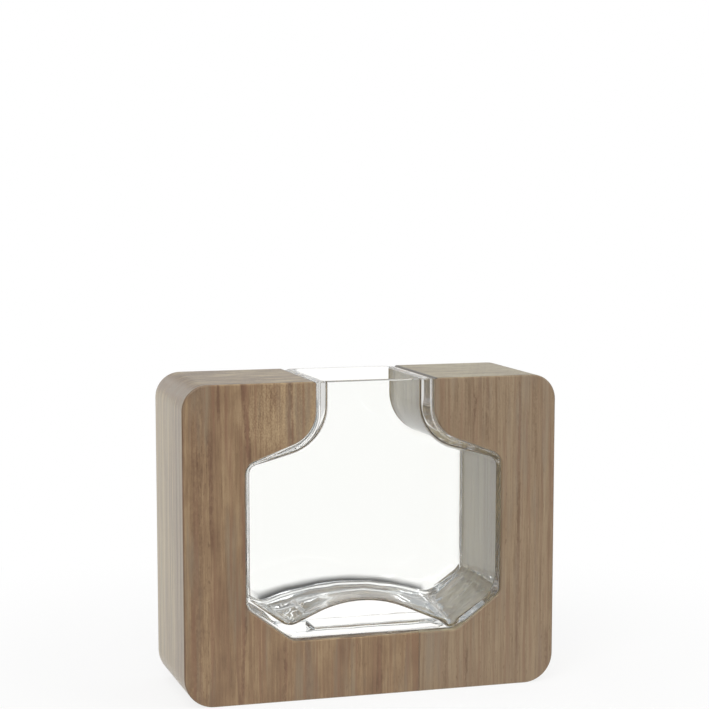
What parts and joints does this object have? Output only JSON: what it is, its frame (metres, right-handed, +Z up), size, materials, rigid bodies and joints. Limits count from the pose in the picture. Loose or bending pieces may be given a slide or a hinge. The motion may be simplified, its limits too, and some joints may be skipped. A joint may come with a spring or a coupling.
{
  "type": "wood and glass vase",
  "caption": "Upright rounded wooden block with a bottle-shaped cut-out that holds a flat clear glass flower vase, open at the top and removable through the front or the back.",
  "frame": {"origin": "middle of the block's base, on the surface it stands on", "axes": "+X across the width to the viewer's right, +Y through the depth to the back, +Z up"},
  "size_m": [0.16, 0.055, 0.132],
  "materials": {
    "left_wood": "sanded and oiled, matt, flat-sawn figure with grain upright",
    "right_wood": "sanded and oiled, matt, straight grain upright",
    "clear_glass": "clear, polished, smooth"
  },
  "bodies": {
    "wooden_block": {"left_stave": "left_wood", "right_stave": "right_wood"},
    "glass": {"glass_vase": "clear_glass"}
  },
  "joints": [
    {"name": "glass_slide", "type": "slide", "parent": "wooden_block", "child": "glass", "axis": [0, -1, 0], "range_m": [-0.056, 0.056]}
  ]
}
